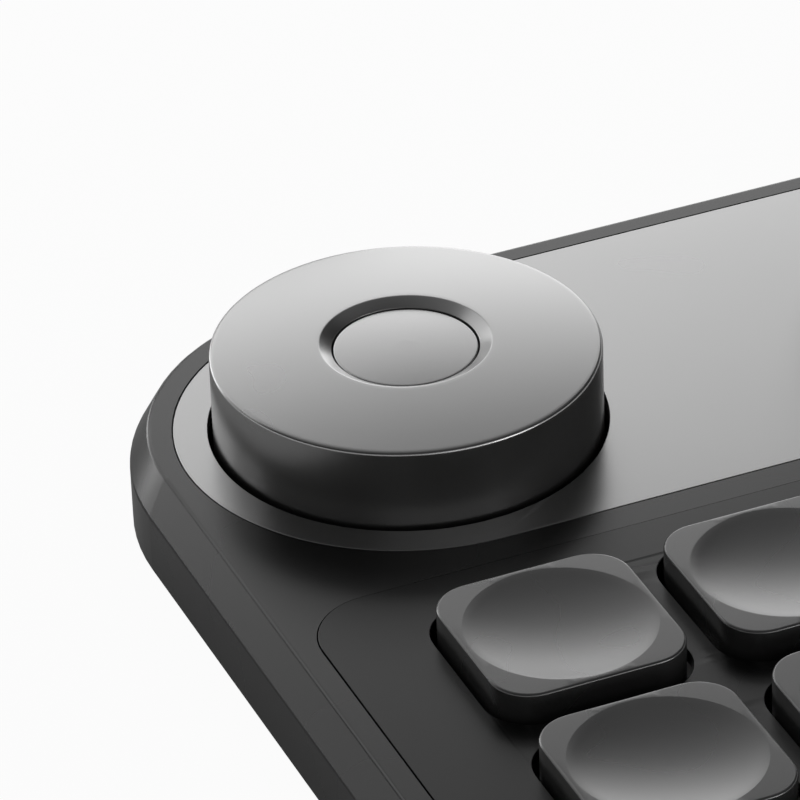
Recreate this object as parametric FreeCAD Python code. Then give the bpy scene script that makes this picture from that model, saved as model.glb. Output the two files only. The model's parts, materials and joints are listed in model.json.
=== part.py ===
"""Macro keypad with two turning knobs, a blank control strip and twelve dished keys.

Millimetres. +Z is up, +X runs along the row of knobs and +Y points to the back, where the knobs are.
The origin is on the table, under the middle of the case.
"""
import FreeCAD, Part
import math
import os

from FreeCAD import Vector

# Keys: layout and caps
key_pitch = 19.05
key_columns = 4
key_rows = 3
key_block_shift = -0.2
key_travel = 1.8
cap_side = 15.93
cap_corner = 3.3
cap_edge_round = 0.22
cap_height = 4.0
cap_stand = 2.3
cap_wall = 1.2
cap_roof = 1.0
dish_radius = 7.48
dish_depth = 0.8
peg_radius = 0.6
peg_length = 0.8
peg_offset = 1.7
peg_gap = 0.02
cap_to_switch_gap = 0.2

# Knobs and their centre buttons
knob_spacing = 53.13
knob_radius = 15.7
knob_height = 6.88
knob_sink = 1.4
knob_wall = 1.5
knob_roof_level = 5.0
knob_edge_round = 0.3
knob_gap = 0.43
crown_radius = 174.0
button_radius = 5.8
button_gap = 0.13
button_rim_level = 6.85
button_rise = 0.2
button_thickness = 1.6
button_edge_round = 0.12
button_travel = 0.5
recess_width = 0.98
recess_drop = 0.54
plunger_radius = 1.5
plunger_collar_radius = 2.4
plunger_collar_height = 0.55

# Case, strip and key panel
knob_to_edge = 22.6
knob_to_first_row = 34.64
panel_margin = 3.95
front_key_to_panel = 12.96
case_height = 7.66
case_corner = 23.0
bevel_inset = 1.9
bevel_drop = 2.6
bevel_corner_spread = 1.1
bevel_lower_round = 0.45
bevel_upper_round = 0.4
case_foot_round = 0.1
case_wall = 2.4
case_roof = 2.2
strip_thickness = 1.0
strip_border = 3.72
strip_gap = 0.12
panel_thickness = 1.2
panel_gap = 0.15
panel_back_gap = 0.03
panel_to_strip = 2.82
panel_back_corner = 5.5
panel_ledge = 1.6
key_gap = 0.53

# Underside
cover_thickness = 1.2
cover_wall_left = 1.4
cover_gap = 0.1
foot_radius = 4.5
foot_stand = 1.5
foot_sink = 0.4
foot_inset_x = 17.0
foot_inset_y = 13.0

# Circuit board, stiffener and chips
board_lift = 0.56
board_thickness = 1.0
board_gap = 0.4
plate_thickness = 0.8
plate_back_gap = 1.2
chip_thickness = 0.8
controller_side = 7.0
memory_width = 5.0
memory_depth = 4.0
regulator_side = 3.0
chip_spacing = 1.5

# Key switches
switch_side = 12.0
switch_wall = 0.9
switch_floor = 0.4
switch_split = 1.7
switch_ceiling = 0.45
switch_fit = 0.05
stem_side = 5.6
stem_corner = 0.5
stem_flange_side = 7.6
stem_flange_thickness = 0.4
stem_bore_radius = 1.9
stem_top_thickness = 2.0
guide_post_radius = 0.9
guide_post_height = 1.0
spring_radius = 1.45
spring_wire_radius = 0.11
spring_turns = 4.5
spring_end_gap = 0.03

# Rotary encoders under the knobs
encoder_radius = 10.5
encoder_wall = 1.2
encoder_height = 4.5
encoder_floor = 0.8
encoder_lid = 0.8
hub_outer_radius = 7.6
hub_inner_radius = 6.1
hub_flange_radius = 9.0
hub_flange_thickness = 1.2
hub_boss_wall = 1.6
hub_boss_length = 2.5
running_gap = 0.06
sleeve_radius = 3.2
sleeve_top = 6.5
sleeve_base_radius = 4.4
sleeve_base_height = 3.3
sleeve_base_floor = 2.3
dome_radius = 2.2
dome_left_when_pressed = 0.1
dome_thickness = 0.12

# Fasteners
screw_radius = 0.95
screw_hole_gap = 0.05
screw_head_radius = 1.9
screw_drive_radius = 0.8
screw_drive_depth = 0.3
cover_screw_head = 0.6
cover_screw_length = 3.9
board_screw_head = 0.45
board_screw_length = 3.3
cover_boss_radius = 2.6
board_boss_radius = 2.3
boss_hole_spare = 0.3
boss_clearance = 0.3
boss_bite = 0.24
side_screw_to_knob = 16.5
back_screw_x = 12.0
front_screw_turn = 26.4
board_screw_inset = 4.37
strip_screw_front = 12.5
strip_screw_back = 10.5

# Socket for the lead, in the back wall
port_width = 8.94
port_height = 3.26
port_length = 7.3
port_shell = 0.3
port_inset = 0.6
port_depth = 6.2
port_tongue_width = 6.7
port_tongue_height = 0.7
port_tongue_inset = 1.0
port_gap = 0.15
port_lift = 0.05

# Plan, worked out from the sizes above
knob_x = knob_spacing / 2
case_half_x = knob_x + knob_to_edge
key_field_depth = (key_rows - 1) * key_pitch
case_depth = knob_to_edge + knob_to_first_row + key_field_depth + front_key_to_panel + panel_margin
case_half_y = case_depth / 2
knob_y = case_half_y - knob_to_edge
first_row_y = knob_y - knob_to_first_row
strip_radius = knob_to_edge - strip_border
panel_half_x = case_half_x - panel_margin
panel_front = -case_half_y + panel_margin
panel_back = knob_y - strip_radius - panel_to_strip
panel_front_corner = case_corner - panel_margin
inner_half_x = case_half_x - case_wall
inner_half_y = case_half_y - case_wall
inner_corner = case_corner - case_wall
board_half_x = inner_half_x - board_gap
board_half_y = inner_half_y - board_gap
board_corner = inner_corner - board_gap

# Levels, from the table up
case_bottom = foot_stand
case_top = case_bottom + case_height
roof_under = case_top - case_roof
cover_top = case_bottom + cover_thickness
board_bottom = cover_top + board_lift
board_top = board_bottom + board_thickness
plate_top = board_top + plate_thickness
cap_top = case_top + cap_stand
cap_bottom = cap_top - cap_height
cap_roof_under = cap_top - dish_depth - cap_roof
switch_top = cap_roof_under - key_travel - cap_to_switch_gap
switch_ceiling_under = switch_top - switch_ceiling
stem_flange_top = switch_ceiling_under - switch_fit
stem_flange_under = stem_flange_top - stem_flange_thickness
stem_bore_top = cap_roof_under - stem_top_thickness
switch_floor_top = board_top + switch_floor
encoder_top = board_top + encoder_height
dome_rise = button_travel + dome_left_when_pressed
port_centre_z = cover_top + port_lift + port_height / 2

# Places that repeat
KNOBS = {"left": -knob_x, "right": knob_x}
side_screw_x = inner_half_x - cover_boss_radius + boss_bite
side_screw_y = knob_y - side_screw_to_knob
back_screw_y = inner_half_y - cover_boss_radius + boss_bite
front_screw_reach = inner_corner - cover_boss_radius + boss_bite
board_screw_x = inner_half_x - board_screw_inset


def column_x(column):
    """Middle of a key column, counted from 0 at the left."""
    return key_block_shift + (column - (key_columns - 1) / 2) * key_pitch


def row_y(row):
    """Middle of a key row, counted from 0 at the back."""
    return first_row_y - row * key_pitch


def cover_boss_places():
    """Where the screws of the bottom cover stand."""
    turn = math.radians(front_screw_turn)
    corner_x = case_half_x - case_corner + front_screw_reach * math.cos(turn)
    corner_y = case_corner - case_half_y - front_screw_reach * math.sin(turn)
    places = []
    for side in (-1, 1):
        places.append((side * side_screw_x, side_screw_y))
        places.append((side * back_screw_x, back_screw_y))
        places.append((side * corner_x, corner_y))
    return places


def plate_boss_places():
    """Where board and stiffener are screwed up to the case, beside the keys."""
    back_y = row_y(0) + key_pitch / 2
    front_y = row_y(1) - key_pitch / 2
    return [(side * board_screw_x, y) for side in (-1, 1) for y in (back_y, front_y)]


def strip_boss_places():
    """Where the board alone is screwed up to the case, between the knobs."""
    return [(0, knob_y - strip_screw_front), (0, knob_y + strip_screw_back)]


def foot_places():
    """Middles of the four rubber feet."""
    x = case_half_x - foot_inset_x
    y = case_half_y - foot_inset_y
    return [(side * x, end * y) for side in (-1, 1) for end in (-1, 1)]


def corner_arc(centre_x, centre_y, radius, start, z):
    """Quarter arc from the angle start, counter-clockwise."""
    points = []
    for step in (0, 45, 90):
        angle = math.radians(start + step)
        points.append(Vector(centre_x + radius * math.cos(angle), centre_y + radius * math.sin(angle), z))
    return Part.Arc(*points).toShape()


def outline(left, right, front, back, front_corner, back_corner, z):
    """Closed wire of a rectangle with round corners, its front and back pairs apart."""
    arcs = [
        corner_arc(right - back_corner, back - back_corner, back_corner, 0, z),
        corner_arc(left + back_corner, back - back_corner, back_corner, 90, z),
        corner_arc(left + front_corner, front + front_corner, front_corner, 180, z),
        corner_arc(right - front_corner, front + front_corner, front_corner, 270, z),
    ]
    edges = []
    for index, arc in enumerate(arcs):
        edges.append(arc)
        start = arc.lastVertex().Point
        end = arcs[(index + 1) % 4].firstVertex().Point
        if start.distanceToPoint(end) > 1e-6:
            edges.append(Part.makeLine(start, end))
    return Part.Wire(Part.__sortEdges__(edges))


def plate(left, right, front, back, front_corner, back_corner, low, high):
    """Flat slab with round corners between two levels."""
    face = Part.Face(outline(left, right, front, back, front_corner, back_corner, low))
    return face.extrude(Vector(0, 0, high - low))


def pad(x, y, half_x, half_y, corner, low, high):
    """Flat slab with four like corners about a middle."""
    return plate(x - half_x, x + half_x, y - half_y, y + half_y, corner, corner, low, high)


def rod(x, y, radius, low, high):
    """Upright cylinder."""
    return Part.makeCylinder(radius, high - low, Vector(x, y, low))


def block(x, y, half_x, half_y, low, high):
    """Plain box about a middle."""
    return Part.makeBox(2 * half_x, 2 * half_y, high - low, Vector(x - half_x, y - half_y, low))


def strip_form(radius, low, high):
    """Long pad with round ends about both knob axes."""
    return pad(0, knob_y, knob_x + radius, radius, radius - 1e-4, low, high)


def turned(x, y, edges):
    """Solid of revolution about the upright line through x, y, from edges in the XZ plane."""
    face = Part.Face(Part.Wire(Part.__sortEdges__(edges)))
    solid = face.revolve(Vector(0, 0, 0), Vector(0, 0, 1), 360)
    solid.translate(Vector(x, y, 0))
    return solid


def chain(points):
    """Straight edges through (radius, level) points."""
    vectors = [Vector(radius, 0, level) for radius, level in points]
    return [Part.makeLine(a, b) for a, b in zip(vectors, vectors[1:])]


def lathe(x, y, points):
    """Solid of revolution from a closed loop of (radius, level) points."""
    return turned(x, y, chain(points + points[:1]))


def level_edges(shape, level):
    """Edges of a shape that lie flat at one level."""
    found = []
    for edge in shape.Edges:
        box = edge.BoundBox
        if abs(box.ZMin - level) < 1e-4 and abs(box.ZMax - level) < 1e-4:
            found.append(edge)
    return found


def case_block():
    """Outer form of the case: upright sides under a wide bevel, which is narrower round the corners."""
    shoulder = case_top - bevel_drop
    form = pad(0, 0, case_half_x, case_half_y, case_corner, case_bottom, shoulder)
    rims = []
    for inset, corner, level in (
            (0, case_corner, shoulder), (bevel_inset, case_corner - bevel_inset - bevel_corner_spread, case_top)):
        half_x = case_half_x - inset
        half_y = case_half_y - inset
        rims.append(outline(-half_x, half_x, -half_y, half_y, corner, corner, level))
    form = form.fuse(Part.makeLoft(rims, True, True)).removeSplitter()
    form = form.makeFillet(bevel_lower_round, level_edges(form, shoulder))
    form = form.makeFillet(bevel_upper_round, level_edges(form, case_top))
    return form.makeFillet(case_foot_round, level_edges(form, case_bottom))


def port_form(grow, front, back):
    """Flat-sided slot of the lead socket, along Y, widened by grow."""
    half_x = port_width / 2 + grow
    half_z = port_height / 2 + grow
    form = pad(0, 0, half_x, half_z, half_z - 1e-4, 0, back - front)
    form.rotate(Vector(0, 0, 0), Vector(1, 0, 0), 90)
    form.translate(Vector(0, back, port_centre_z))
    return form


def panel_form(grow, back_grow, low, high):
    """The key panel's outline, widened by grow, and by back_grow towards the knobs."""
    return plate(
        -panel_half_x - grow, panel_half_x + grow, panel_front - grow, panel_back + back_grow,
        panel_front_corner + grow, panel_back_corner + grow, low, high)


def make_top_case():
    """Case shell: rim, roof with the knob holes, ledge for the panel and screw bosses."""
    case = case_block()
    case = case.cut(pad(0, 0, inner_half_x, inner_half_y, inner_corner, case_bottom, roof_under))
    rebate = cover_wall_left
    case = case.cut(pad(
        0, 0, case_half_x - rebate, case_half_y - rebate, case_corner - rebate, case_bottom, cover_top))
    bosses = [rod(x, y, cover_boss_radius, cover_top, roof_under) for x, y in cover_boss_places()]
    bosses += [rod(x, y, board_boss_radius, board_top, roof_under) for x, y in strip_boss_places()]
    case = case.fuse(bosses)
    case = case.cut(panel_form(panel_gap, panel_back_gap, case_top - panel_thickness, case_top))
    case = case.cut(panel_form(-panel_ledge, -panel_ledge, roof_under, case_top))
    pillars = []
    for x, y in plate_boss_places():
        pillars.append(rod(x, y, board_boss_radius, plate_top, case_top - panel_thickness))
    case = case.fuse(pillars)
    case = case.cut(strip_form(strip_radius + strip_gap, case_top - strip_thickness, case_top))
    tools = [rod(x, knob_y, knob_radius + knob_gap, roof_under, case_top) for x in KNOBS.values()]
    tools += screw_tools(cover_boss_places(), cover_top, cover_screw_length - cover_thickness + cover_screw_head)
    tools += screw_tools(plate_boss_places(), plate_top, board_screw_length - board_thickness - plate_thickness)
    tools += screw_tools(strip_boss_places(), board_top, board_screw_length - board_thickness)
    tools.append(port_form(port_gap, inner_half_y - 1, case_half_y + 1))
    return case.cut(tools).removeSplitter()


def screw_tools(places, mouth, reach):
    """Blind screw holes that start at the level mouth and run a little past the screw."""
    radius = screw_radius + screw_hole_gap
    return [rod(x, y, radius, mouth, mouth + reach + boss_hole_spare) for x, y in places]


def make_control_strip():
    """Blank inlay round both knobs."""
    strip = strip_form(strip_radius, case_top - strip_thickness, case_top)
    holes = [rod(x, knob_y, knob_radius + knob_gap, case_top - strip_thickness, case_top) for x in KNOBS.values()]
    return strip.cut(holes)


def make_key_panel():
    """Panel with one opening for each key, level with the case top."""
    low = case_top - panel_thickness
    half = cap_side / 2 + key_gap
    openings = []
    for row in range(key_rows):
        for column in range(key_columns):
            openings.append(pad(column_x(column), row_y(row), half, half, cap_corner + key_gap, low, case_top))
    return panel_form(0, 0, low, case_top).cut(openings)


def make_switch_plate():
    """Steel stiffener on the board, with a square hole for each switch."""
    back = panel_back + plate_back_gap
    form = plate(
        -board_half_x, board_half_x, -board_half_y, back, board_corner, panel_back_corner, board_top, plate_top)
    half = switch_side / 2 + switch_fit
    tools = []
    for row in range(key_rows):
        for column in range(key_columns):
            tools.append(block(column_x(column), row_y(row), half, half, board_top, plate_top))
    tools += board_tools(board_top, plate_top)
    return form.cut(tools)


def board_tools(low, high):
    """Clearance round the case's long bosses, and holes for the board screws."""
    tools = [rod(x, y, cover_boss_radius + boss_clearance, low, high) for x, y in cover_boss_places()]
    for x, y in plate_boss_places() + strip_boss_places():
        tools.append(rod(x, y, screw_radius + screw_hole_gap, low, high))
    return tools


def make_main_board():
    """Circuit board with a notch for the lead socket."""
    board = pad(0, 0, board_half_x, board_half_y, board_corner, board_bottom, board_top)
    notch_front = case_half_y - port_inset - port_length - port_gap
    notch_half = (board_half_y + 1 - notch_front) / 2
    notch = block(
        0, notch_front + notch_half, port_width / 2 + port_gap, notch_half, board_bottom, board_top)
    return board.cut(board_tools(board_bottom, board_top) + [notch])


def make_bottom_cover():
    """Flat cover inside the case rim, with seats for screws and feet."""
    inset = cover_wall_left + cover_gap
    cover = pad(
        0, 0, case_half_x - inset, case_half_y - inset, case_corner - inset, case_bottom, cover_top)
    tools = []
    for x, y in cover_boss_places():
        tools.append(rod(x, y, screw_radius + screw_hole_gap, case_bottom, cover_top))
        tools.append(rod(x, y, screw_head_radius + cover_gap, case_bottom, case_bottom + cover_screw_head))
    for x, y in foot_places():
        tools.append(rod(x, y, foot_radius, case_bottom, case_bottom + foot_sink))
    return cover.cut(tools)


def make_rubber_feet():
    """Four soft feet, glued into the cover."""
    feet = []
    for x, y in foot_places():
        foot = rod(x, y, foot_radius, 0, case_bottom + foot_sink)
        feet.append(foot.makeFillet(foot_stand / 4, level_edges(foot, 0)))
    return Part.makeCompound(feet)


def screw(x, y, seat, head, length):
    """Low-headed screw whose head hangs under the level seat, with a six-sided drive."""
    form = rod(x, y, screw_head_radius, seat - head, seat)
    form = form.fuse(rod(x, y, screw_radius, seat, seat + length))
    corners = []
    for step in range(7):
        angle = math.radians(60 * step)
        corners.append(Vector(
            x + screw_drive_radius * math.cos(angle), y + screw_drive_radius * math.sin(angle), seat - head))
    drive = Part.Face(Part.makePolygon(corners)).extrude(Vector(0, 0, screw_drive_depth))
    return form.cut(drive)


def make_cover_screws():
    """Screws of the bottom cover."""
    seat = case_bottom + cover_screw_head
    return Part.makeCompound(
        [screw(x, y, seat, cover_screw_head, cover_screw_length) for x, y in cover_boss_places()])


def make_board_screws():
    """Screws that hold board and stiffener up to the case."""
    places = plate_boss_places() + strip_boss_places()
    return Part.makeCompound(
        [screw(x, y, board_bottom, board_screw_head, board_screw_length) for x, y in places])


def make_port():
    """Lead socket: a metal shell round a flat tongue."""
    mouth = case_half_y - port_inset
    back = mouth - port_length
    shell = port_form(0, back, mouth)
    shell = shell.cut(port_form(-port_shell, mouth - port_depth, mouth))
    tongue = Part.makeBox(
        port_tongue_width, port_depth - port_tongue_inset, port_tongue_height,
        Vector(-port_tongue_width / 2, mouth - port_depth, port_centre_z - port_tongue_height / 2))
    return shell.fuse(tongue)


def make_chips():
    """Controller, memory and regulator on the board, between the knobs."""
    high = board_top + chip_thickness
    controller = block(0, knob_y, controller_side / 2, controller_side / 2, board_top, high)
    memory_x = -controller_side / 2 - chip_spacing - memory_width / 2
    memory = block(memory_x, knob_y + controller_side, memory_width / 2, memory_depth / 2, board_top, high)
    regulator = block(
        -memory_x, knob_y + controller_side, regulator_side / 2, regulator_side / 2, board_top, high)
    return Part.makeCompound([controller, memory, regulator])


def make_switch_base(x, y):
    """Lower half of a key switch, with the post that guides the spring."""
    high = board_top + switch_split
    half = switch_side / 2
    base = pad(x, y, half, half, 0.6, board_top, high)
    base = base.cut(pad(x, y, half - switch_wall, half - switch_wall, 0.4, switch_floor_top, high))
    return base.fuse(rod(x, y, guide_post_radius, switch_floor_top, switch_floor_top + guide_post_height))


def make_switch_cover(x, y):
    """Upper half of a key switch, which keeps the stem in."""
    low = board_top + switch_split
    half = switch_side / 2
    cover = pad(x, y, half, half, 0.6, low, switch_top)
    cover = cover.cut(pad(x, y, half - switch_wall, half - switch_wall, 0.4, low, switch_ceiling_under))
    hole = stem_side / 2 + switch_fit
    return cover.cut(pad(x, y, hole, hole, stem_corner, switch_ceiling_under, switch_top))


def make_stem(x, y):
    """Sliding stem with a flange under the switch cover and sockets for the cap's pegs."""
    half = stem_side / 2
    stem = pad(x, y, half, half, stem_corner, stem_flange_under, cap_roof_under)
    flange = stem_flange_side / 2
    stem = stem.fuse(pad(x, y, flange, flange, stem_corner, stem_flange_under, stem_flange_top))
    tools = [rod(x, y, stem_bore_radius, stem_flange_under, stem_bore_top)]
    for side in (-1, 1):
        tools.append(rod(
            x + side * peg_offset, y, peg_radius + peg_gap, cap_roof_under - peg_length - peg_gap, cap_roof_under))
    return stem.cut(tools)


def make_cap(x, y):
    """Square cap with a shallow round dish, hollow from below."""
    half = cap_side / 2
    cap = pad(x, y, half, half, cap_corner, cap_bottom, cap_top)
    cap = cap.makeFillet(cap_edge_round, level_edges(cap, cap_top))
    ball = (dish_radius ** 2 + dish_depth ** 2) / (2 * dish_depth)
    cap = cap.cut(Part.makeSphere(ball, Vector(x, y, cap_top - dish_depth + ball)))
    hollow = half - cap_wall
    cap = cap.cut(pad(x, y, hollow, hollow, cap_corner - cap_wall, cap_bottom, cap_roof_under))
    pegs = []
    for side in (-1, 1):
        pegs.append(rod(x + side * peg_offset, y, peg_radius, cap_roof_under - peg_length, cap_roof_under))
    return cap.fuse(pegs)


def make_spring(x, y):
    """Coil spring between the switch floor and the stem."""
    low = switch_floor_top + spring_wire_radius + spring_end_gap
    height = stem_bore_top - spring_wire_radius - spring_end_gap - low
    helix = Part.makeHelix(height / spring_turns, height, spring_radius)
    start = helix.Edges[0].valueAt(helix.Edges[0].FirstParameter)
    along = helix.Edges[0].tangentAt(helix.Edges[0].FirstParameter)
    profile = Part.Wire(Part.makeCircle(spring_wire_radius, start, along))
    coil = Part.Wire(helix.Edges).makePipeShell([profile], True, True)
    coil.translate(Vector(x, y, low))
    return coil


def crown_level(radius):
    """Level of the knob's crowned top at a radius."""
    edge = math.sqrt(crown_radius ** 2 - knob_radius ** 2)
    return case_top + knob_height + math.sqrt(crown_radius ** 2 - radius ** 2) - edge


def make_knob(x):
    """Hollow knob with a crowned top, a sloping ring round the button and a boss for the hub."""
    hole = button_radius + button_gap
    ring = hole + recess_width
    roof = case_top + knob_roof_level
    bottom = case_top - knob_sink
    inside = knob_radius - knob_wall
    boss = hub_outer_radius + hub_boss_wall
    middle = (ring + knob_radius) / 2
    crown = Part.Arc(
        Vector(ring, 0, crown_level(ring)), Vector(middle, 0, crown_level(middle)),
        Vector(knob_radius, 0, crown_level(knob_radius))).toShape()
    edges = chain([(hole, roof), (hole, crown_level(ring) - recess_drop), (ring, crown_level(ring))])
    edges.append(crown)
    edges += chain([
        (knob_radius, crown_level(knob_radius)), (knob_radius, bottom), (inside, bottom), (inside, roof),
        (boss, roof), (boss, roof - hub_boss_length), (hub_outer_radius, roof - hub_boss_length),
        (hub_outer_radius, roof), (hole, roof)])
    knob = turned(x, knob_y, edges)
    return knob.makeFillet(knob_edge_round, level_edges(knob, crown_level(knob_radius)))


def make_hub(x):
    """Hollow rotor of the encoder, pressed into the knob's boss."""
    top = case_top + knob_roof_level
    flange_top = encoder_top - encoder_lid - running_gap
    flange_low = flange_top - hub_flange_thickness
    return lathe(x, knob_y, [
        (hub_inner_radius, flange_low), (hub_flange_radius, flange_low), (hub_flange_radius, flange_top),
        (hub_outer_radius, flange_top), (hub_outer_radius, top), (hub_inner_radius, top)])


def make_encoder(x):
    """Encoder housing with the fixed sleeve that guides the button."""
    bore = plunger_radius + running_gap
    lid_low = encoder_top - encoder_lid
    inside = encoder_radius - encoder_wall
    room = dome_radius + 0.6
    return lathe(x, knob_y, [
        (room, board_top), (encoder_radius, board_top), (encoder_radius, encoder_top),
        (hub_outer_radius + running_gap, encoder_top), (hub_outer_radius + running_gap, lid_low),
        (inside, lid_low), (inside, board_top + encoder_floor), (sleeve_base_radius, board_top + encoder_floor),
        (sleeve_base_radius, board_top + sleeve_base_height), (sleeve_radius, board_top + sleeve_base_height),
        (sleeve_radius, board_top + sleeve_top), (bore, board_top + sleeve_top),
        (bore, board_top + sleeve_base_floor), (room, board_top + sleeve_base_floor)])


def make_button(x):
    """Slightly domed button with the plunger that reaches down to the snap dome."""
    rim = case_top + button_rim_level
    under = rim - button_thickness
    tip = board_top + dome_rise + switch_fit
    collar_top = board_top + sleeve_base_floor - switch_fit
    collar_low = collar_top - plunger_collar_height
    ball = (button_radius ** 2 + button_rise ** 2) / (2 * button_rise)
    half = button_radius / 2
    half_level = rim + button_rise - ball + math.sqrt(ball ** 2 - half ** 2)
    dome = Part.Arc(
        Vector(button_radius, 0, rim), Vector(half, 0, half_level), Vector(0, 0, rim + button_rise)).toShape()
    edges = chain([(0, rim + button_rise), (0, tip), (plunger_radius, tip), (plunger_radius, collar_low)])
    edges += chain([
        (plunger_radius, collar_low), (plunger_collar_radius, collar_low), (plunger_collar_radius, collar_top),
        (plunger_radius, collar_top), (plunger_radius, under), (button_radius, under), (button_radius, rim)])
    button = turned(x, knob_y, edges + [dome])
    return button.makeFillet(button_edge_round, level_edges(button, rim))


def make_snap_dome(x):
    """Thin sprung dome on the board, under the plunger."""
    def cap(radius, rise):
        ball = (radius ** 2 + rise ** 2) / (2 * rise)
        whole = Part.makeSphere(ball, Vector(x, knob_y, board_top + rise - ball))
        return whole.common(rod(x, knob_y, radius + 1, board_top, board_top + rise + 1))
    return cap(dome_radius, dome_rise).cut(cap(dome_radius - dome_thickness, dome_rise - dome_thickness))


def key_name(row, column):
    """Row and column of a key, counted from 1 at the back left."""
    return f"r{row + 1}c{column + 1}"


def all_nodes():
    """Every sub-part under the name of its node."""
    nodes = {
        "top_case": make_top_case(),
        "control_strip": make_control_strip(),
        "key_panel": make_key_panel(),
        "switch_plate": make_switch_plate(),
        "main_board": make_main_board(),
        "board_chips": make_chips(),
        "bottom_cover": make_bottom_cover(),
        "rubber_feet": make_rubber_feet(),
        "cover_screws": make_cover_screws(),
        "board_screws": make_board_screws(),
        "usb_port": make_port(),
    }
    bases = []
    covers = []
    for row in range(key_rows):
        for column in range(key_columns):
            x = column_x(column)
            y = row_y(row)
            key = key_name(row, column)
            bases.append(make_switch_base(x, y))
            covers.append(make_switch_cover(x, y))
            nodes["keycap_" + key] = make_cap(x, y)
            nodes["key_stem_" + key] = make_stem(x, y)
            nodes["key_spring_" + key] = make_spring(x, y)
    nodes["switch_bases"] = Part.makeCompound(bases)
    nodes["switch_covers"] = Part.makeCompound(covers)
    for side, x in KNOBS.items():
        nodes[side + "_encoder"] = make_encoder(x)
        nodes[side + "_knob"] = make_knob(x)
        nodes[side + "_knob_hub"] = make_hub(x)
        nodes[side + "_button"] = make_button(x)
        nodes[side + "_snap_dome"] = make_snap_dome(x)
    return nodes


def main():
    """Write one STEP file for each node."""
    os.makedirs("parts", exist_ok=True)
    for name, shape in all_nodes().items():
        shape.exportStep(f"parts/{name}.step")
        box = shape.BoundBox
        print(
            f"{name}: {len(shape.Solids)} solid, valid {shape.isValid()}, {shape.Volume:.2f} mm3,"
            f" z {box.ZMin:.2f} to {box.ZMax:.2f}")


main()
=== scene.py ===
"""Looks of the macro keypad: finishes, finer shells, studio and camera.

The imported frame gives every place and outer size. Lengths in this file are in millimetres, and MM turns
them into metres where a mesh, a lamp or the camera is made. +X runs along the row of knobs, +Y points to
the back.
"""

import json
import math
from typing import NamedTuple

import bmesh
import bpy
from mathutils import Matrix, Vector

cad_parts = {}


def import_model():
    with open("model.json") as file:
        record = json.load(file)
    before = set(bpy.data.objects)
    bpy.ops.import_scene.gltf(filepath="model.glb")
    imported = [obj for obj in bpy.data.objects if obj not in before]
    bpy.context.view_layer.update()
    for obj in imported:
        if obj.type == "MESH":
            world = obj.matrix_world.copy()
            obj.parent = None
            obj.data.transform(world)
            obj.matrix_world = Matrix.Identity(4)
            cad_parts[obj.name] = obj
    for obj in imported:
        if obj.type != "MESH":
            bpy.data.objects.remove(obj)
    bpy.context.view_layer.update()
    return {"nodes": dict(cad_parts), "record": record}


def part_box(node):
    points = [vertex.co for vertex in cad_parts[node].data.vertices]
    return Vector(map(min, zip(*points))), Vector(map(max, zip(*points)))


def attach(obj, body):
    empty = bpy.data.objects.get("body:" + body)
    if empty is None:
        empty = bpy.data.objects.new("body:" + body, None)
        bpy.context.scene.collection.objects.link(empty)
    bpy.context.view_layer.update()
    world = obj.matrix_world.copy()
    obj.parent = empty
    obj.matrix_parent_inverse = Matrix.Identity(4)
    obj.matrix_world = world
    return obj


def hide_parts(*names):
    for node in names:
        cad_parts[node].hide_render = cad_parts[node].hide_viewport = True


MM = 0.001

# Camera, measured from the round knob, its bore, the straight edges and the keys of the photograph
CAMERA_AZIMUTH = -21.923
CAMERA_ELEVATION = 32.310
CAMERA_ROLL = -2.196
CAMERA_DISTANCE = 510.75
CAMERA_SLIDE = -0.672
CAMERA_LIFT = 1.577
FOCAL_PIXELS = 6375.0
PICTURE_PIXELS = 800.0
SENSOR_WIDTH = 36.0
CLIP_NEAR = 0.01
CLIP_FAR = 20.0

# Studio: levels that mirrored rays meet, by the way they go, and the floor by its distance
HORIZON_TOP = (0.12, 0.24)
CEILING_START = (0.55, 0.85)
CEILING_TURN = (-0.5, 0.5)
CEILING_BACK = 0.24
CEILING_FRONT = 0.04
GAP_LEVEL = 0.02
SOFT_LEVEL = 0.1
FLOOR_GREY = 0.82
FLOOR_WHITE_SHARE = (0.96, 1.0)
FLOOR_NEAR_GLOW = 0.04
FLOOR_RADIUS = 1400.0
FLOOR_NEAR = 130.0
FLOOR_FAR = 210.0
FLOOR_SEGMENTS = 96

# Softboxes: the walls that they stand on, seen from the middle of the table
BACK_WALL = 250.0
FRONT_WALL = -500.0

# Layout and fineness of the shells
SIDES = ("left", "right")
KEY_ROWS = 3
KEY_COLUMNS = 4
ROUND_SEGMENTS = 192
CORNER_STEPS = 24
EDGE_STEPS = 5
TINY = 1e-4
SLAB_REACH = 2.0
FLATS_WEIGHT = 100

# Knob and button
BUTTON_GAP = 0.13
KNOB_RING_WIDTH = 0.98
KNOB_RING_DROP = 0.54
KNOB_GAP = 0.43
KNOB_WALL = 1.5
KNOB_ROOF_LEVEL = 5.0
KNOB_EDGE_ROUND = 0.3
KNOB_LIP_ROUND = 0.3
KNOB_HOLE_ROUND = 0.05
KNOB_FOOT_ROUND = 0.15
KNOB_INNER_ROUND = 0.1
CROWN_RADIUS = 174.0
CROWN_STEPS = 24
CROWN_MARGIN = 0.5
HUB_RADIUS = 7.6
HUB_BOSS_WALL = 1.6
HUB_BOSS_LENGTH = 2.5
BUTTON_RISE = 0.2
BUTTON_THICKNESS = 1.6
BUTTON_EDGE_ROUND = 0.12
BUTTON_FOOT_ROUND = 0.08
PLUNGER_RADIUS = 1.5
COLLAR_RADIUS = 2.4
COLLAR_LEVEL = 1.05
COLLAR_HEIGHT = 0.55

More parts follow.
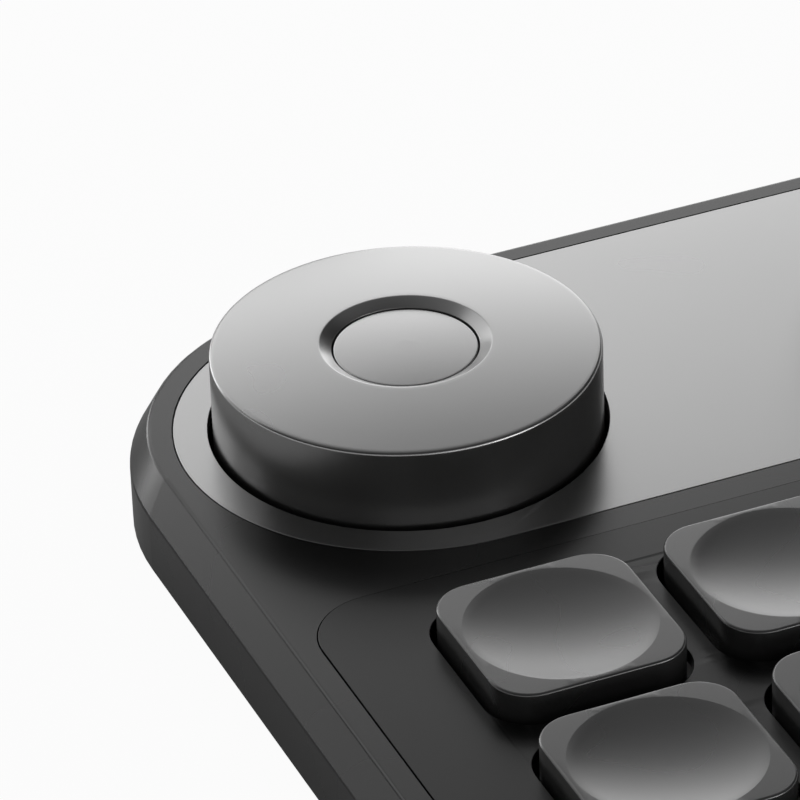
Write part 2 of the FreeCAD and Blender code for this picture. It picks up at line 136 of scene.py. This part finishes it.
# Keycaps, strip and panel
CAP_CORNER = 3.3
CAP_EDGE_ROUND = 0.22
CAP_FOOT_ROUND = 0.08
CAP_WALL = 1.2
CAP_ROOF = 1.0
CAP_CORNER_STEPS = 10
CAP_SIDE_STEPS = 12
DISH_RADIUS = 7.48
DISH_DEPTH = 0.8
DISH_LIP = 0.02
DISH_STEPS = 12
PEG_RADIUS = 0.6
PEG_LENGTH = 0.8
PEG_OFFSET = 1.7
STRIP_EDGE_ROUND = 0.06
PANEL_FRONT_CORNER = 19.05
PANEL_BACK_CORNER = 5.5
PANEL_EDGE_ROUND = 0.08
PANEL_BACK_SHARE = 0.1
KEY_GAP = 0.53

# Finishes
METAL = 1.0
PLASTIC = 0.0
DRIFT_SCALE = 45.0
DRIFT_DETAIL = 2.0
DRIFT_LIMITS = (0.25, 0.75)
COLOUR_DRIFT = 0.04
GRAIN_DETAIL = 1.0
GRAIN_STRENGTH = 1.0
PLAIN_IOR = 1.5
KEYCAP_IOR = 2.25


class Grain(NamedTuple):
    """Width and depth of a finish's grain in millimetres, and how far its roughness drifts either way."""

    width: float
    depth: float
    spread: float


BLASTED = Grain(0.12, 0.0006, 0.02)
SATIN = Grain(0.10, 0.0004, 0.01)
COARSE_SATIN = Grain(0.12, 0.0008, 0.02)
ROLLED = Grain(0.2, 0.0008, 0.03)
TURNED = Grain(0.2, 0.0006, 0.02)
PLATED = Grain(0.15, 0.0006, 0.02)
MOULDED = Grain(0.2, 0.001, 0.03)
LACQUERED = Grain(0.3, 0.001, 0.03)
CAST_RUBBER = Grain(0.2, 0.003, 0.04)


def turned_axes(azimuth, elevation, roll):
    """Right, up and back of a camera that looks from an azimuth and elevation, in degrees."""
    a = math.radians(azimuth)
    e = math.radians(elevation)
    back = Vector((math.sin(a) * math.cos(e), -math.cos(a) * math.cos(e), math.sin(e)))
    level = Vector((math.cos(a), math.sin(a), 0))
    up = back.cross(level)
    t = math.radians(roll)
    return level * math.cos(t) + up * math.sin(t), up * math.cos(t) - level * math.sin(t), back


def make_camera(target):
    """Camera of the photograph, which looks at the left knob's axis, level with the case top."""
    right, up, back = turned_axes(CAMERA_AZIMUTH, CAMERA_ELEVATION, CAMERA_ROLL)
    camera = bpy.data.cameras.new("camera")
    camera.sensor_width = SENSOR_WIDTH
    camera.lens = SENSOR_WIDTH * FOCAL_PIXELS / PICTURE_PIXELS
    camera.clip_start = CLIP_NEAR
    camera.clip_end = CLIP_FAR
    place = target + (right * CAMERA_SLIDE + up * CAMERA_LIFT + back * CAMERA_DISTANCE) * MM
    holder = bpy.data.objects.new("camera", camera)
    bpy.context.scene.collection.objects.link(holder)
    turn = Matrix((right, up, back)).transposed().to_4x4()
    holder.matrix_world = Matrix.Translation(place) @ turn
    bpy.context.scene.camera = holder


def grey(level):
    """A colour without a tint."""
    return (level, level, level)


class Nodes:
    """Short way to add nodes to a tree and to link them."""

    def __init__(self, tree):
        self.tree = tree
        tree.nodes.clear()

    def add(self, kind, **settings):
        node = self.tree.nodes.new(kind)
        for name, value in settings.items():
            setattr(node, name, value)
        return node

    def link(self, source, target):
        self.tree.links.new(source, target)

    def math(self, operation, first, second=None, clamp=False):
        node = self.add("ShaderNodeMath", operation=operation, use_clamp=clamp)
        for socket, value in zip(node.inputs, (first, second)):
            if value is None:
                continue
            if isinstance(value, (int, float)):
                socket.default_value = value
            else:
                self.link(value, socket)
        return node.outputs[0]

    def smooth_step(self, value, low, high, from_value=0.0, to_value=1.0):
        node = self.add("ShaderNodeMapRange", interpolation_type="SMOOTHSTEP")
        self.link(value, node.inputs["Value"])
        node.inputs["From Min"].default_value = low
        node.inputs["From Max"].default_value = high
        node.inputs["To Min"].default_value = from_value
        node.inputs["To Max"].default_value = to_value
        return node.outputs["Result"]

    def seen_and_mirrored(self, level):
        """What the camera sees as 1 and mirrored rays see at a level, and the share of mirrored rays."""
        rays = self.add("ShaderNodeLightPath")
        glossy = rays.outputs["Is Glossy Ray"]
        mirrored = self.math("ADD", glossy, rays.outputs["Is Transmission Ray"], clamp=True)
        seen = self.math("MAXIMUM", rays.outputs["Is Camera Ray"], self.math("MULTIPLY", mirrored, level))
        return seen, mirrored


def make_world():
    """White for the camera. Glossy surfaces see a white horizon under a dim ceiling, darker in front."""
    world = bpy.data.worlds.new("studio")
    world.use_nodes = True
    bpy.context.scene.world = world
    n = Nodes(world.node_tree)
    way = n.add("ShaderNodeTexCoord")
    axes = n.add("ShaderNodeSeparateXYZ")
    n.link(way.outputs["Generated"], axes.inputs[0])
    horizon = n.smooth_step(axes.outputs["Z"], *HORIZON_TOP, 1.0, GAP_LEVEL)
    behind = n.smooth_step(axes.outputs["Y"], *CEILING_TURN, CEILING_FRONT, CEILING_BACK)
    ceiling = n.math("MULTIPLY", n.smooth_step(axes.outputs["Z"], *CEILING_START), behind)
    room = n.math("ADD", horizon, ceiling)
    seen, mirrored = n.seen_and_mirrored(room)
    soft = n.math("MULTIPLY", n.math("SUBTRACT", 1.0, mirrored), SOFT_LEVEL)
    background = n.add("ShaderNodeBackground")
    n.link(n.math("MAXIMUM", seen, soft), background.inputs["Strength"])
    output = n.add("ShaderNodeOutputWorld")
    n.link(background.outputs[0], output.inputs[0])


def make_floor():
    """Plain pale floor that keeps the object's shadow and meets the white background."""
    mesh = bpy.data.meshes.new("floor")
    shape = bmesh.new()
    bmesh.ops.create_circle(shape, cap_ends=True, segments=FLOOR_SEGMENTS, radius=FLOOR_RADIUS * MM)
    shape.to_mesh(mesh)
    shape.free()
    floor = bpy.data.objects.new("floor", mesh)
    bpy.context.scene.collection.objects.link(floor)
    material = bpy.data.materials.new("floor")
    material.use_nodes = True
    mesh.materials.append(material)
    n = Nodes(material.node_tree)
    pale = n.add("ShaderNodeBsdfDiffuse")
    pale.inputs["Color"].default_value = (*grey(FLOOR_GREY), 1)
    white = n.add("ShaderNodeEmission")
    place = n.add("ShaderNodeNewGeometry")
    reach = n.add("ShaderNodeVectorMath", operation="LENGTH")
    n.link(place.outputs["Position"], reach.inputs[0])
    far = n.smooth_step(reach.outputs["Value"], FLOOR_NEAR * MM, FLOOR_FAR * MM, FLOOR_NEAR_GLOW, 1.0)
    seen = n.seen_and_mirrored(far)[0]
    clean = n.smooth_step(reach.outputs["Value"], FLOOR_NEAR * MM, FLOOR_FAR * MM, *FLOOR_WHITE_SHARE)
    share = n.math("MULTIPLY", seen, clean)
    mix = n.add("ShaderNodeMixShader")
    n.link(share, mix.inputs[0])
    n.link(pale.outputs[0], mix.inputs[1])
    n.link(white.outputs[0], mix.inputs[2])
    output = n.add("ShaderNodeOutputMaterial")
    n.link(mix.outputs[0], output.inputs["Surface"])


def softbox(name, across, upright, wall, level):
    """Upright area lamp on a wall behind or in front, which shows as a plain patch of the given level."""
    lamp = bpy.data.lights.new(name, "AREA")
    lamp.shape = "RECTANGLE"
    lamp.size = (across[1] - across[0]) * MM
    lamp.size_y = (upright[1] - upright[0]) * MM
    lamp.energy = level * math.pi * lamp.size * lamp.size_y
    holder = bpy.data.objects.new(name, lamp)
    bpy.context.scene.collection.objects.link(holder)
    holder.location = Vector((sum(across) / 2, wall, sum(upright) / 2)) * MM
    holder.rotation_mode = "QUATERNION"
    holder.rotation_quaternion = Vector((0, -wall, 0)).to_track_quat("-Z", "Y")
    holder.visible_camera = False


def make_lamps():
    """Low boxes show in edges and bevels, middle ones in flat tops, high ones in slopes that face the
    front, and those in front in the upright sides.
    """
    softbox("left_low", across=(-190, -60), upright=(0, 40), wall=BACK_WALL, level=2.6)
    softbox("left_above", across=(-190, -60), upright=(40, 85), wall=BACK_WALL, level=1.65)
    softbox("right_low", across=(50, 180), upright=(15, 85), wall=BACK_WALL, level=1.7)
    softbox("left_middle", across=(-190, -60), upright=(85, 200), wall=BACK_WALL, level=1.05)
    softbox("middle", across=(-60, 180), upright=(85, 135), wall=BACK_WALL, level=2.0)
    softbox("middle_above", across=(-60, 180), upright=(135, 200), wall=BACK_WALL, level=1.0)
    softbox("high_right", across=(-60, 180), upright=(200, 300), wall=BACK_WALL, level=0.28)
    softbox("high_left", across=(-420, -60), upright=(200, 300), wall=BACK_WALL, level=0.87)
    softbox("front_low", across=(-100, 200), upright=(0, 150), wall=FRONT_WALL, level=1.0)
    softbox("front_low_right", across=(200, 600), upright=(0, 150), wall=FRONT_WALL, level=3.9)
    softbox("front_high", across=(-500, 600), upright=(150, 350), wall=FRONT_WALL, level=0.25)


def arc(centre, radius, start, end, steps):
    """Points of an arc, with its angles in degrees."""
    points = []
    for step in range(steps + 1):
        angle = math.radians(start + (end - start) * step / steps)
        points.append((centre[0] + radius * math.cos(angle), centre[1] + radius * math.sin(angle)))
    return points


def ring_points(centre, radius):
    """Points of a whole circle, the first not repeated."""
    return arc(centre, radius, 0, 360, ROUND_SEGMENTS)[:-1]


def soften(corners, closed):
    """Round the corners of a polyline of (u, v, radius); a radius of 0 keeps the corner as it is."""
    count = len(corners)
    points = []
    for index, (u, v, radius) in enumerate(corners):
        here = Vector((u, v))
        if radius == 0 or (not closed and index in (0, count - 1)):
            points.append((u, v))
            continue
        before = (Vector(corners[index - 1][:2]) - here).normalized()
        after = (Vector(corners[(index + 1) % count][:2]) - here).normalized()
        half = before.angle(after) / 2
        centre = here + (before + after).normalized() * (radius / math.sin(half))
        spoke = here + before * (radius / math.tan(half)) - centre
        turn = math.pi - 2 * half
        if before.x * after.y - before.y * after.x > 0:
            turn = -turn
        for step in range(EDGE_STEPS + 1):
            points.append(tuple(centre + Matrix.Rotation(turn * step / EDGE_STEPS, 2) @ spoke))
    return points


def bridge(shape, first, second):
    """Faces between two rings, of which either may be a single point."""
    count = max(len(first), len(second))
    for step in range(count):
        after = (step + 1) % count
        corners = [first[0]] if len(first) == 1 else [first[step], first[after]]
        corners += [second[0]] if len(second) == 1 else [second[after], second[step]]
        shape.faces.new(corners)


def join_rings(shape, rings, closed):
    """Skin over a row of rings of points; a closed row ends where it began."""
    rows = [[shape.verts.new(point) for point in ring] for ring in rings]
    if closed:
        rows.append(rows[0])
    for first, second in zip(rows, rows[1:]):
        bridge(shape, first, second)
    return rows


def lathe(shape, profile, x, y, closed):
    """Turn (radius, level) points about an upright line."""
    rings = []
    for radius, level in profile:
        if radius < TINY:
            rings.append([(x, y, level)])
        else:
            rings.append([(u, v, level) for u, v in ring_points((x, y), radius)])
    join_rings(shape, rings, closed)


def outline(left, right, front, back, front_corner, back_corner, inset):
    """Points round a rectangle with round corners, moved inwards by inset."""
    spots = [
        (right - back_corner, back - back_corner, back_corner, 0),
        (left + back_corner, back - back_corner, back_corner, 90),
        (left + front_corner, front + front_corner, front_corner, 180),
        (right - front_corner, front + front_corner, front_corner, 270),
    ]
    points = []
    for u, v, radius, start in spots:
        points += arc((u, v), radius - inset, start, start + 90, CORNER_STEPS)
    return points


def slab(shape, rims, low, high, top_round, bottom_round):
    """Flat plate. Each rim gives its points at a distance into the plate; the first is the outside."""
    corners = [(SLAB_REACH, high, 0), (0, high, top_round), (0, low, bottom_round), (SLAB_REACH, low, 0)]
    profile = soften(corners, False)[1:-1]
    top = []
    bottom = []
    for rim in rims:
        rings = [[(x, y, level) for x, y in rim(inset)] for inset, level in profile]
        rows = join_rings(shape, rings, False)
        top.append(rows[0])
        bottom.append(rows[-1])
    for rows in (top, bottom):
        edges = []
        for row in rows:
            for first, second in zip(row, row[1:] + row[:1]):
                edges.append(shape.edges.get((first, second)))
        bmesh.ops.triangle_fill(shape, edges=edges, use_beauty=True, normal=(0, 0, 1))


def add_piece(name, shape, material, body, node):
    """Show a mesh in place of a CAD node, riding on its body, with even shading on its flats."""
    bmesh.ops.recalc_face_normals(shape, faces=shape.faces)
    for face in shape.faces:
        face.smooth = True
    mesh = bpy.data.meshes.new(name)
    shape.to_mesh(mesh)
    shape.free()
    mesh.transform(Matrix.Scale(MM, 4))
    mesh.materials.append(material)
    piece = bpy.data.objects.new(name, mesh)
    bpy.context.scene.collection.objects.link(piece)
    even = piece.modifiers.new("even_flats", "WEIGHTED_NORMAL")
    even.weight = FLATS_WEIGHT
    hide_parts(node)
    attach(piece, body)


def node_box(node):
    """Lowest and highest corner of a CAD node, in millimetres."""
    low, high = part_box(node)
    return low / MM, high / MM


def middle(low, high):
    """Centre of a box from above."""
    return (low.x + high.x) / 2, (low.y + high.y) / 2


def ball_radius(rim, rise):
    """Radius of the ball that a round cap or dish is cut from."""
    return (rim ** 2 + rise ** 2) / (2 * rise)


def make_knob(side, material):
    """Turned knob: crowned top, lipped ring sloping down to the button, hollow underside with a boss."""
    low, high = node_box(side + "_knob")
    button_low, button_high = node_box(side + "_button")
    case_top = node_box("top_case")[1].z
    radius = (high.x - low.x) / 2
    hole = (button_high.x - button_low.x) / 2 + BUTTON_GAP
    ring = hole + KNOB_RING_WIDTH
    inside = radius - KNOB_WALL
    roof = case_top + KNOB_ROOF_LEVEL
    boss = HUB_RADIUS + HUB_BOSS_WALL
    boss_end = roof - HUB_BOSS_LENGTH

    def crown(r):
        return high.z + math.sqrt(CROWN_RADIUS ** 2 - r ** 2) - math.sqrt(CROWN_RADIUS ** 2 - ring ** 2)

    corners = [(hole, roof, KNOB_INNER_ROUND), (hole, high.z - KNOB_RING_DROP, KNOB_HOLE_ROUND)]
    corners.append((ring, high.z, KNOB_LIP_ROUND))
    for step in range(CROWN_STEPS + 1):
        r = ring + CROWN_MARGIN + (radius - ring - 2 * CROWN_MARGIN) * step / CROWN_STEPS
        corners.append((r, crown(r), 0))
    corners += [
        (radius, crown(radius), KNOB_EDGE_ROUND), (radius, low.z, KNOB_FOOT_ROUND),
        (inside, low.z, KNOB_INNER_ROUND), (inside, roof, KNOB_INNER_ROUND),
        (boss, roof, KNOB_INNER_ROUND), (boss, boss_end, KNOB_INNER_ROUND),
        (HUB_RADIUS, boss_end, KNOB_INNER_ROUND), (HUB_RADIUS, roof, 0)]
    shape = bmesh.new()
    lathe(shape, soften(corners, True), *middle(low, high), True)
    add_piece(side + "_knob_turned", shape, material, side + "_knob", side + "_knob")


def make_button(side, material):
    """Domed button with its plunger and collar."""
    low, high = node_box(side + "_button")
    radius = (high.x - low.x) / 2
    rim = high.z - BUTTON_RISE
    under = rim - BUTTON_THICKNESS
    collar_low = low.z + COLLAR_LEVEL
    collar_top = collar_low + COLLAR_HEIGHT
    ball = ball_radius(radius, BUTTON_RISE)
    corners = [(0, high.z, 0)]
    for step in range(1, CROWN_STEPS):
        r = radius * step / CROWN_STEPS
        corners.append((r, high.z - ball + math.sqrt(ball ** 2 - r ** 2), 0))
    corners += [
        (radius, rim, BUTTON_EDGE_ROUND), (radius, under, BUTTON_FOOT_ROUND), (PLUNGER_RADIUS, under, 0),
        (PLUNGER_RADIUS, collar_top, 0), (COLLAR_RADIUS, collar_top, BUTTON_FOOT_ROUND),
        (COLLAR_RADIUS, collar_low, BUTTON_FOOT_ROUND), (PLUNGER_RADIUS, collar_low, 0),
        (PLUNGER_RADIUS, low.z, BUTTON_EDGE_ROUND), (0, low.z, 0)]
    shape = bmesh.new()
    lathe(shape, soften(corners, False), *middle(low, high), False)
    add_piece(side + "_button_domed", shape, material, side + "_button", side + "_button")


def square_points(half, corner):
    """Points round a square with round corners, also along its straight sides."""
    points = []
    for turn in range(4):
        row = arc((half - corner, half - corner), corner, 0, 90, CAP_CORNER_STEPS)
        after = Vector((-(half - corner), half))
        last = Vector(row[-1])
        row += [tuple(last.lerp(after, step / CAP_SIDE_STEPS)) for step in range(1, CAP_SIDE_STEPS)]
        points += [tuple(Matrix.Rotation(math.pi / 2 * turn, 2) @ Vector(point)) for point in row]
    return points


def make_cap(key, material):
    """Square keycap with a round dish, soft edges, a hollow underside and two pegs."""
    low, high = node_box("keycap_" + key)
    x, y = middle(low, high)
    half = (high.x - low.x) / 2
    roof = high.z - DISH_DEPTH - CAP_ROOF
    ball = ball_radius(DISH_RADIUS, DISH_DEPTH)
    spokes = [Vector(point).normalized() for point in square_points(half, CAP_CORNER)]

    def dish_ring(radius, level):
        return [(x + radius * spoke.x, y + radius * spoke.y, level) for spoke in spokes]

    def square_ring(inset, level):
        return [(x + u, y + v, level) for u, v in square_points(half - inset, CAP_CORNER - inset)]

    rings = [[(x, y, high.z - DISH_DEPTH)]]
    for step in range(1, DISH_STEPS + 1):
        radius = (DISH_RADIUS - DISH_LIP) * step / DISH_STEPS
        rings.append(dish_ring(radius, high.z - DISH_DEPTH + ball - math.sqrt(ball ** 2 - radius ** 2)))
    rings.append(dish_ring(DISH_RADIUS + DISH_LIP, high.z))
    corners = [
        (SLAB_REACH, high.z, 0), (0, high.z, CAP_EDGE_ROUND), (0, low.z, CAP_FOOT_ROUND),
        (CAP_WALL, low.z, CAP_FOOT_ROUND), (CAP_WALL, roof, CAP_FOOT_ROUND), (SLAB_REACH, roof, 0)]
    wall = soften(corners, False)[1:-1]
    rings += [square_ring(inset, level) for inset, level in wall]
    rings.append([(x, y, roof)])
    shape = bmesh.new()
    join_rings(shape, rings, False)
    for side in (-1, 1):
        peg = soften([
            (0, roof + CAP_FOOT_ROUND, 0), (PEG_RADIUS, roof + CAP_FOOT_ROUND, 0),
            (PEG_RADIUS, roof - PEG_LENGTH, CAP_FOOT_ROUND), (0, roof - PEG_LENGTH, 0)], False)
        lathe(shape, peg, x + side * PEG_OFFSET, y, False)
    add_piece("cap_" + key, shape, material, "key_" + key, "keycap_" + key)


def make_strip(material):
    """Blank inlay round both knobs, with fine broken edges."""
    low, high = node_box("control_strip")
    radius = (high.y - low.y) / 2 - TINY
    rims = [lambda inset: outline(low.x, high.x, low.y, high.y, radius, radius, inset)]
    for side in SIDES:
        knob_low, knob_high = node_box(side + "_knob")
        axis = middle(knob_low, knob_high)
        hole = (knob_high.x - knob_low.x) / 2 + KNOB_GAP
        rims.append(lambda inset, axis=axis, hole=hole: ring_points(axis, hole + inset))
    shape = bmesh.new()
    slab(shape, rims, low.z, high.z, STRIP_EDGE_ROUND, STRIP_EDGE_ROUND)
    add_piece("strip_inlay", shape, material, "root", "control_strip")


def make_panel(keys, material):
    """Key panel with broken edges round its border and round each opening."""
    low, high = node_box("key_panel")
    back_line = high.y - PANEL_BACK_CORNER

    def border(inset):
        """The outer edge, less broken towards the back, where the panel meets the case tightly."""
        plain = outline(low.x, high.x, low.y, high.y, PANEL_FRONT_CORNER, PANEL_BACK_CORNER, 0)
        broken = outline(low.x, high.x, low.y, high.y, PANEL_FRONT_CORNER, PANEL_BACK_CORNER, inset)
        points = []
        for (x, y), (u, v) in zip(plain, broken):
            share = min(1.0, max(PANEL_BACK_SHARE, 1 - (y - back_line) / PANEL_BACK_CORNER))
            points.append((x + (u - x) * share, y + (v - y) * share))
        return points

    rims = [border]
    for key in keys:
        cap_low, cap_high = node_box("keycap_" + key)
        edges = (cap_low.x - KEY_GAP, cap_high.x + KEY_GAP, cap_low.y - KEY_GAP, cap_high.y + KEY_GAP)
        corner = CAP_CORNER + KEY_GAP
        rims.append(lambda inset, edges=edges, corner=corner: outline(*edges, corner, corner, -inset))
    shape = bmesh.new()
    slab(shape, rims, low.z, high.z, PANEL_EDGE_ROUND, PANEL_EDGE_ROUND)
    add_piece("panel_plate", shape, material, "root", "key_panel")


def fine_noise(n, scale, detail):
    """Even noise in the object's own space."""
    place = n.add("ShaderNodeTexCoord")
    noise = n.add("ShaderNodeTexNoise")
    noise.inputs["Scale"].default_value = scale
    noise.inputs["Detail"].default_value = detail
    n.link(place.outputs["Object"], noise.inputs["Vector"])
    return noise.outputs["Fac"]


def finish_material(name, colour, metallic, roughness, grain, ior=PLAIN_IOR):
    """Blasted or moulded finish: a fine grain in the normal and a slow drift in roughness and colour."""
    material = bpy.data.materials.new(name)
    material.use_nodes = True
    n = Nodes(material.node_tree)
    shader = n.add("ShaderNodeBsdfPrincipled")
    shader.inputs["Metallic"].default_value = metallic
    shader.inputs["IOR"].default_value = ior
    drift = fine_noise(n, DRIFT_SCALE, DRIFT_DETAIL)
    rough = n.add("ShaderNodeMapRange")
    n.link(drift, rough.inputs["Value"])
    rough.inputs["From Min"].default_value = DRIFT_LIMITS[0]
    rough.inputs["From Max"].default_value = DRIFT_LIMITS[1]
    rough.inputs["To Min"].default_value = roughness - grain.spread
    rough.inputs["To Max"].default_value = roughness + grain.spread
    n.link(rough.outputs["Result"], shader.inputs["Roughness"])
    shade = n.add("ShaderNodeMix", data_type="RGBA")
    factor, darker, lighter = shade.inputs["Factor"], shade.inputs[6], shade.inputs[7]
    n.link(drift, factor)
    darker.default_value = (*[(1 - COLOUR_DRIFT) * channel for channel in colour], 1)
    lighter.default_value = (*[(1 + COLOUR_DRIFT) * channel for channel in colour], 1)
    n.link(shade.outputs[2], shader.inputs["Base Color"])
    bump = n.add("ShaderNodeBump")
    bump.inputs["Strength"].default_value = GRAIN_STRENGTH
    bump.inputs["Distance"].default_value = grain.depth * MM
    n.link(fine_noise(n, 1 / (grain.width * MM), GRAIN_DETAIL), bump.inputs["Height"])
    n.link(bump.outputs["Normal"], shader.inputs["Normal"])
    output = n.add("ShaderNodeOutputMaterial")
    n.link(shader.outputs[0], output.inputs["Surface"])
    return material


def make_materials():
    """One material for each slot of the record, with its colour, metallic value, roughness and grain."""
    finishes = {
        "case_metal": (grey(0.080), METAL, 0.27, BLASTED),
        "strip_metal": (grey(0.415), METAL, 0.28, SATIN),
        "panel_metal": (grey(0.065), METAL, 0.28, BLASTED),
        "knob_metal": (grey(0.425), METAL, 0.28, SATIN),
        "button_metal": (grey(0.40), METAL, 0.26, SATIN),
        "keycap": (grey(0.05), PLASTIC, 0.28, BLASTED, KEYCAP_IOR),
        "cover_metal": (grey(0.08), METAL, 0.42, COARSE_SATIN),
        "plate_steel": (grey(0.4), METAL, 0.35, ROLLED),
        "board": ((0.02, 0.03, 0.025), PLASTIC, 0.4, LACQUERED),
        "chip": (grey(0.02), PLASTIC, 0.5, MOULDED),
        "rubber": (grey(0.02), PLASTIC, 0.75, CAST_RUBBER),
        "screw_steel": (grey(0.12), METAL, 0.32, PLATED),
        "port_steel": (grey(0.45), METAL, 0.3, PLATED),
        "switch_plastic": (grey(0.03), PLASTIC, 0.45, MOULDED),
        "stem_plastic": ((0.35, 0.05, 0.04), PLASTIC, 0.4, MOULDED),
        "spring_steel": (grey(0.5), METAL, 0.25, TURNED),
        "encoder_plastic": (grey(0.05), PLASTIC, 0.45, MOULDED),
        "hub_brass": ((0.55, 0.40, 0.16), METAL, 0.3, TURNED),
    }
    return {slot: finish_material(slot, *finish) for slot, finish in finishes.items()}


def dress_nodes(frame, materials):
    """Give every CAD node the material of its slot."""
    for part in frame["record"]["subparts"]:
        node = frame["nodes"][part["node"]]
        node.data.materials.clear()
        node.data.materials.append(materials[part["material_slot"]])


def main():
    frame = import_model()
    bpy.context.scene.view_settings.view_transform = "Standard"
    knob_axis = middle(*node_box("left_knob"))
    case_top = node_box("top_case")[1].z
    make_camera(Vector((*knob_axis, case_top)) * MM)
    make_world()
    make_floor()
    make_lamps()
    materials = make_materials()
    dress_nodes(frame, materials)
    keys = [f"r{row}c{column}" for row in range(1, KEY_ROWS + 1) for column in range(1, KEY_COLUMNS + 1)]
    for key in keys:
        make_cap(key, materials["keycap"])
    for side in SIDES:
        make_knob(side, materials["knob_metal"])
        make_button(side, materials["button_metal"])
    make_strip(materials["strip_metal"])
    make_panel(keys, materials["panel_metal"])


main()
